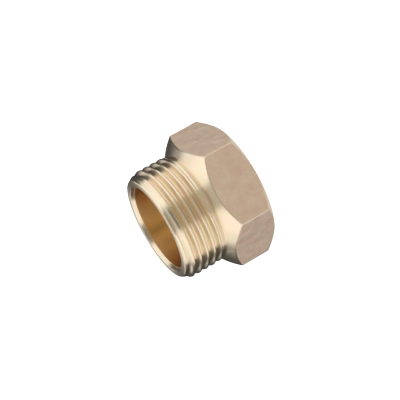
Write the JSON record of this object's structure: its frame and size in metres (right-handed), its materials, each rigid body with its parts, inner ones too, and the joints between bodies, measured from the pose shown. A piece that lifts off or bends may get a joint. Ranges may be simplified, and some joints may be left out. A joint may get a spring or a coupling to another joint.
{
  "type": "pipe cap",
  "caption": "Hexagon-headed brass pipe cap that closes an internally threaded port: blind hollow spigot with a male pipe thread, coned shoulder and wrench hexagon.",
  "frame": {"origin": "centre of the flat closed end, on which the cap stands", "axes": "+Z along the thread axis, from the closed end to the open mouth; +Y and -Y square to two of the wrench flats; +X and -X through two of the hexagon's corners"},
  "size_m": [0.0334, 0.029, 0.0222],
  "materials": {
    "forged_brass": "hot-forged and shot-blasted flats, bright turned cone, thread and hollow"
  },
  "bodies": {
    "root": {"cap_body": "forged_brass"}
  },
  "joints": []
}
